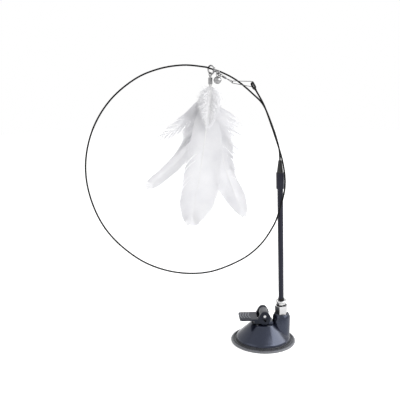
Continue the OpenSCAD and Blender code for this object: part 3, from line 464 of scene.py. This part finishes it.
TIP = on_rod(ROD_TIP)
NEAR = [(-0.005, 0, 0.050), (-0.018, 0, 0.097), (-0.039, 0, 0.154), (-0.088, 0, 0.259), (-0.147, 0, 0.317),
        (-0.222, 0, 0.375), (-0.293, 0, 0.411), (-0.353, 0, 0.430)]
FAR = [(-0.386, 0, 0.438), (-0.485, 0, 0.446), (-0.601, 0, 0.430), (-0.718, 0, 0.385), (-0.837, 0, 0.294),
       (-0.922, 0, 0.174), (-0.967, -0.02, 0.034), (-0.967, -0.08, -0.109), (-0.921, -0.18, -0.255),
       (-0.842, -0.30, -0.371), (-0.722, -0.45, -0.470), (-0.600, -0.60, -0.525), (-0.469, -0.72, -0.548),
       (-0.334, -0.84, -0.537), (-0.187, -0.94, -0.479), (-0.093, -1, -0.406), (-0.029, -1, -0.314),
       (-0.002, -1, -0.245), (0.014, -1, -0.186), (0.024, -1, -0.133), (0.024, -0.95, -0.080),
       (0.016, -0.85, -0.027), (-0.001, -0.70, 0.037), (-0.041, -0.58, 0.147), (-0.085, -0.50, 0.256)]
INSIDE_ROD = (123.8, 134.8, 145.8)
EYELET_END = [(-10.679, -1.697, 242.166), (-11.629, -1.697, 243.811), (-12.104, -1.697, 244.634)]
route = [on_rod(w) for w in INSIDE_ROD] + [TIP]
route += [TIP + Vector((a * LOOP_W, b * STANDOFF, c * LOOP_H)) for a, b, c in NEAR + FAR]
path = spline(route + EYELET_END, ROUTE_STEPS)
verts, faces = sweep(path, [WIRE_R] * len(path), WIRE_SIDES)
piece("wire_coated", verts, faces, "wire_coating", "rod", "wire_coating", "spring_wire")

# Feathers
lo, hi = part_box("feather_crimp")
MOUTH = Vector(((lo.x + hi.x) / 2, (lo.y + hi.y) / 2, lo.z))
TABLE_STEPS, SMOOTH, SHARP_END = 400, 15, 12


def table(rows):
    """A function of 0 to 1 through a table of (share, value), its corners smoothed except at the end."""
    t = np.linspace(0, 1, TABLE_STEPS)
    v = np.interp(t, [r[0] for r in rows], [r[1] for r in rows])
    k = np.hanning(2 * SMOOTH + 1)
    k /= k.sum()
    pad = np.concatenate([np.full(SMOOTH, v[0]), v, np.full(SMOOTH, v[-1])])
    soft = np.convolve(pad, k, "valid")
    blend = np.clip((1 - t) * SHARP_END, 0, 1)
    return lambda x: float(np.interp(x, t, soft * blend + v * (1 - blend)))


ROUND = 0.88  # the share of a feather's length where its round tip starts
QUILL_RING, QUILL_IN = 0.95, 1.2  # where the quills stand in the crimp's mouth, and how deep, in mm
QUILL_UP = (5.4, 2.0, 0.6)  # heights over its start, in mm, at which a quill runs up into the crimp
QUILL_ROOT, QUILL_TIP, QUILL_PROUD, QUILL_POINTS, QUILL_SIDES = 0.35, 0.04, 0.12, 40, 10
BARB_BOW, BARB_DROP, BARB_LIFT, BARB_STEPS = 0.16, 0.20, 0.03, 8
DOWN_FALL, DOWN_CURL, DOWN_JITTER, DOWN_STEPS = 0.6, 0.5, 0.10, 7


class Feather:
    """A vane of single barbs along a curved quill that stands in the crimp's mouth."""

    def __init__(self, name, place, lean, tip_back, length, width, bow, left, right, seed,
                 cup=0.0, tilt=(0.0, 0.0), arch=0.0, quill=0.42, late=2.0):
        self.name, self.length, self.width, self.bow, self.late = name, length, width, bow, late
        self.half = {-1: table(left), 1: table(right)}
        self.rnd = random.Random(seed)
        self.cup, self.tilt, self.arch, self.quill = cup, tilt, arch, quill
        a = math.radians(place)
        self.start = MOUTH + MM * Vector((QUILL_RING * math.cos(a), QUILL_RING * math.sin(a), -QUILL_IN))
        self.turn = (Matrix.Rotation(math.radians(tip_back), 3, "X")
                     @ Matrix.Rotation(math.radians(lean), 3, "Y"))
        self.verts, self.faces, self.soft_verts, self.soft_faces = [], [], [], []

    def spine(self, t):
        """The quill's own line, in mm of the feather's frame."""
        return Vector((self.bow * t ** self.late, self.arch * math.sin(math.pi * t) * t, -t * self.length))

    def outward(self, t, side):
        """The direction square to the quill, in the vane's plane, towards one side."""
        d = self.spine(min(1.0, t + 0.01)) - self.spine(max(0.0, t - 0.01))
        return Vector((-d.z, 0, d.x)).normalized() * side

    def world(self, p):
        """The place in metres of a point in mm of the feather's frame."""
        return self.start + self.turn @ (p * MM)

    def strip(self, line, widths, across, soft=False):
        """A ribbon along a line, one edge of a barb a little proud of the other."""
        verts, faces, lift = (self.soft_verts, self.soft_faces, 0.0) if soft else (self.verts, self.faces, BARB_LIFT)
        base = len(verts)
        for p, w, a in zip(line, widths, across):
            verts.append(self.world(p - a * w + Vector((0, -lift * w, 0))))
            verts.append(self.world(p + a * w + Vector((0, lift * w, 0))))
        for i in range(len(line) - 1):
            k = base + 2 * i
            faces.append((k, k + 1, k + 3, k + 2))

    def barb(self, side, t0, t1, reach, width, pinch, wave, loose):
        """One barb from the quill at t0 to the vane's edge at t1, pointed early where the vane is loose."""
        p0, foot = self.spine(t0), self.spine(t1)
        away = self.outward(t1, side)
        p2 = foot + away * reach + pinch
        p1 = p0.lerp(p2, 0.5) + away * (reach * BARB_BOW) + Vector((0, 0, (t1 - t0) * self.length * BARB_DROP))
        line, widths = [], []
        tilt = self.tilt[0 if side < 0 else 1]
        for k in range(BARB_STEPS + 1):
            u = k / BARB_STEPS
            p = p0 * (1 - u) ** 2 + p1 * 2 * u * (1 - u) + p2 * u * u
            far = abs(p.x - self.spine(min(1.0, -p.z / self.length)).x)
            p.y += self.cup * (far / self.width) ** 2 * self.width + tilt * far + wave * u * u
            line.append(p)
            taper = 0.9 - 0.35 * loose
            widths.append(width * (1.0 if u < taper else max(0.08, 1 - (u - taper) / (1.0 - taper))))
        across = []
        for k in range(BARB_STEPS + 1):
            d = line[min(k + 1, BARB_STEPS)] - line[max(k - 1, 0)]
            across.append(Vector((d.z, 0, -d.x)).normalized() * (1 if side > 0 else -1))
        self.strip(line, widths, across)

    def vane(self, side, start, barbs, clump, ragged, sweep_share=1.15, end=0.985, notches=(), outline=None):
        """All the barbs of one side, in clumps that part from each other towards the edge.

        An outline, for loose barbs over the vane, stands in for the side's own table of widths.
        """
        rag, rnd = table(ragged), self.rnd
        half = table(outline) if outline else self.half[side]
        step = (end - start) / barbs

        def edge_at(t):
            """Where the barb that starts at t ends, as a share of the length, up to the round tip."""
            raw = t + sweep_share * half(min(1.0, t + 0.05)) * self.width / self.length
            return raw if raw < ROUND else ROUND + (1 - ROUND) * min(1.0, (raw - ROUND) / (last - ROUND))

        last = end + sweep_share * half(1.0) * self.width / self.length
        i = 0
        while i < barbs:
            count = rnd.randint(*clump)
            middle = start + step * (i + count / 2)
            r = rag(middle)
            part = any(a <= middle <= b for a, b in notches)
            pull = min(0.85, 0.02 + 0.7 * r * r + (0.5 if part else 0))
            wave = rnd.uniform(-1, 1) * (0.10 + 1.6 * r * r)
            longer = 1 + rnd.uniform(-1, 1) * (0.01 + 0.20 * r * r)
            sag = rnd.uniform(-0.4, 1) * r * 2.5
            for j in range(count):
                t0 = start + step * (i + j)
                if t0 > end:
                    break
                t1 = edge_at(t0)
                tm = min(1.0, middle + (t1 - t0))
                t1c = t1 + (tm - t1) * pull
                reach = half(t1) * self.width * longer * (1 - rnd.random() * (0.01 + 0.12 * r))
                width = 0.62 * step * self.length * (1.25 - 0.65 * r)
                pinch = Vector((0, 0, -sag + rnd.uniform(-0.15, 0.15)))
                self.barb(side, t0, t1c, reach, width, pinch, wave + rnd.uniform(-0.05, 0.05), r)
            i += count

    def down(self, count, start, end, reach, size, spread):
        """Loose curling barbs of down along the quill."""
        rnd = self.rnd
        for _ in range(count):
            t = rnd.uniform(start, end)
            side = rnd.choice((-1, 1))
            fall = DOWN_FALL * rnd.uniform(0.3, 1.3)
            depth = rnd.uniform(-spread, spread)
            long = reach * rnd.uniform(0.45, 1.0) * math.sin(math.pi * (0.34 + 0.56 * (t - start) / (end - start)))
            d = Vector((side, depth, -fall)).normalized()
            curl = Vector((rnd.uniform(-1, 1), rnd.uniform(-1, 1), rnd.uniform(-1.2, 0.4))) * DOWN_CURL
            p = self.spine(t) + Vector((0, rnd.uniform(-0.2, 0.2), 0))
            line = [p.copy()]
            for k in range(DOWN_STEPS):
                jitter = Vector([rnd.gauss(0, DOWN_JITTER) for _ in range(3)])
                d = (d + curl * (1.0 / DOWN_STEPS) + jitter).normalized()
                p = p + d * (long / DOWN_STEPS)
                line.append(p.copy())
            flat = Vector((rnd.uniform(-1, 1), 0, rnd.uniform(-1, 1)))
            across = []
            for k in range(DOWN_STEPS + 1):
                g = line[min(k + 1, DOWN_STEPS)] - line[max(k - 1, 0)]
                c = g.cross(Vector((0, 1, 0)) + flat * 0.15)
                across.append(c.normalized() if c.length > 1e-9 else Vector((1, 0, 0)))
            widths = [size * (1 - 0.75 * k / DOWN_STEPS) for k in range(DOWN_STEPS + 1)]
            self.strip(line, widths, across, soft=True)

    def build(self):
        """Makes the pieces: quill, vane and down, all on the toy's body."""
        shares = np.linspace(0.01, 0.95, QUILL_POINTS)
        line = [Vector((0, 0, z)) for z in QUILL_UP]
        line += [self.spine(t) + Vector((0, -QUILL_PROUD, 0)) for t in shares]
        full = [QUILL_ROOT, QUILL_ROOT, self.quill * 0.9]
        full += [self.quill * (1 - t) ** 1.3 + QUILL_TIP for t in shares]
        verts, faces = sweep([self.world(p) / MM for p in line], full, QUILL_SIDES)
        piece(self.name + "_quill", verts, faces, "quill", "toy", "feather", self.name)
        piece(self.name + "_vane", self.verts, self.faces, "feather", "toy", "feather", self.name, smooth=False)
        piece(self.name + "_down", self.soft_verts, self.soft_faces, "down", "toy", "feather", self.name,
              smooth=False)


main = Feather("main_feather", 200, 3, -2, 131, 35, -11.5,
               [(0, 0.02), (0.06, 0.10), (0.12, 0.20), (0.2, 0.29), (0.3, 0.35), (0.45, 0.40), (0.6, 0.43),
                (0.74, 0.44), (0.86, 0.40), (0.93, 0.30), (0.975, 0.17), (1, 0.06)],
               [(0, 0.02), (0.06, 0.10), (0.12, 0.18), (0.2, 0.26), (0.3, 0.40), (0.45, 0.50), (0.6, 0.55),
                (0.74, 0.58), (0.86, 0.50), (0.93, 0.35), (0.975, 0.22), (1, 0.06)],
               11, cup=0.05, tilt=(0.02, -0.01), arch=-2.0, quill=0.5)
main.vane(-1, 0.05, 380, clump=(9, 22), notches=[(0.47, 0.50)],
          ragged=[(0, 0.8), (0.12, 0.6), (0.2, 0.25), (0.5, 0.12), (0.6, 0.3), (0.7, 0.1), (1, 0.05)])
main.vane(1, 0.05, 380, clump=(9, 22), ragged=[(0, 0.8), (0.12, 0.6), (0.2, 0.2), (0.6, 0.1), (1, 0.05)])
main.down(1100, 0.02, 0.22, 13, size=0.2, spread=0.25)
main.build()

side = Feather("side_feather", 344, -3, 2.5, 127, 34, 26,
               [(0, 0.02), (0.08, 0.08), (0.14, 0.14), (0.2, 0.25), (0.3, 0.35), (0.45, 0.40), (0.6, 0.40),
                (0.7, 0.40), (0.78, 0.37), (0.86, 0.28), (0.93, 0.18), (0.97, 0.11), (1, 0.04)],
               [(0, 0.02), (0.08, 0.06), (0.15, 0.12), (0.18, 0.22), (0.22, 0.42), (0.26, 0.62), (0.31, 0.72),
                (0.36, 0.60), (0.45, 0.38), (0.54, 0.29), (0.62, 0.24), (0.71, 0.21), (0.78, 0.27), (0.85, 0.28),
                (0.92, 0.21), (0.97, 0.13), (1, 0.04)],
               23, tilt=(-0.02, -0.03), arch=1.5)
side.vane(-1, 0.06, 360, clump=(9, 20), ragged=[(0, 0.7), (0.14, 0.3), (0.4, 0.1), (1, 0.05)])
side.vane(1, 0.06, 360, clump=(9, 20), ragged=[(0, 0.5), (0.14, 0.2), (0.3, 0.3), (0.56, 0.3), (1, 0.1)])
side.vane(1, 0.14, 120, sweep_share=0.7, clump=(5, 9), end=0.62,
          ragged=[(0, 0.5), (0.2, 0.6), (0.34, 1.0), (1, 1.0)],
          outline=[(0, 0.02), (0.15, 0.10), (0.2, 0.22), (0.24, 0.42), (0.28, 0.62), (0.32, 0.72), (0.38, 0.66),
                   (0.54, 0.62), (0.61, 0.46), (0.66, 0.28), (1, 0.04)])
side.down(900, 0.03, 0.2, 12, size=0.2, spread=0.25)
side.build()

thin = Feather("thin_feather", 56, 2, 5, 99, 16, -57,
               [(0, 0.02), (0.1, 0.25), (0.2, 0.70), (0.34, 1.20), (0.47, 1.15), (0.55, 0.75), (0.62, 0.48),
                (0.84, 0.38), (0.93, 0.36), (0.97, 0.28), (1, 0.10)],
               [(0, 0.02), (0.1, 0.10), (0.2, 0.30), (0.34, 0.40), (0.6, 0.42), (0.84, 0.40), (0.93, 0.37),
                (0.97, 0.28), (1, 0.10)],
               37, cup=0.03, tilt=(0.02, 0.0), arch=1.0, quill=0.32, late=2.3)
thin.vane(-1, 0.08, 320, clump=(8, 18), ragged=[(0, 0.8), (0.3, 0.3), (0.6, 0.15), (1, 0.05)])
thin.vane(-1, 0.2, 70, clump=(5, 9), ragged=[(0, 1.0), (1, 1.0)], end=0.5,
          outline=[(0, 0.02), (0.2, 0.80), (0.34, 1.40), (0.5, 1.40), (0.58, 1.00), (0.66, 0.50), (1, 0.10)])
thin.vane(1, 0.08, 320, clump=(8, 18), ragged=[(0, 0.8), (0.3, 0.3), (0.6, 0.2), (1, 0.05)])
thin.down(500, 0.04, 0.3, 10, size=0.18, spread=0.25)
thin.build()

tuft = Feather("tuft_feather", 128, 14, 9, 60, 15, -34,
               [(0, 0.02), (0.2, 0.20), (0.4, 0.46), (0.66, 0.48), (0.88, 0.42), (1, 0.20)],
               [(0, 0.02), (0.2, 0.20), (0.4, 0.60), (0.66, 0.58), (0.88, 0.46), (1, 0.20)],
               41, cup=0.08, tilt=(0.05, -0.05), arch=0.5, quill=0.3, late=2.3)
tuft.vane(-1, 0.08, 200, sweep_share=1.3, ragged=[(0, 0.6), (0.4, 0.3), (0.7, 0.7), (1, 1.0)], clump=(12, 26))
tuft.vane(1, 0.08, 200, sweep_share=1.3, ragged=[(0, 0.6), (0.4, 0.3), (0.7, 0.7), (1, 0.9)], clump=(12, 24))
tuft.down(500, 0.05, 0.5, 9, size=0.18, spread=0.25)
tuft.build()

plume = Feather("down_plume", 272, 4, -10, 38, 20, 0,
                [(0, 0.10), (0.1, 0.32), (0.3, 0.48), (0.6, 0.46), (0.85, 0.30), (1, 0.1)],
                [(0, 0.10), (0.1, 0.30), (0.3, 0.44), (0.6, 0.44), (0.85, 0.30), (1, 0.1)],
                53, quill=0.12)
plume.vane(-1, 0.02, 160, sweep_share=1.0, ragged=[(0, 0.3), (1, 0.4)], clump=(6, 12))
plume.vane(1, 0.02, 160, sweep_share=1.0, ragged=[(0, 0.3), (1, 0.4)], clump=(6, 12))
plume.down(1500, 0.02, 0.9, 12, size=0.24, spread=0.16)
plume.build()
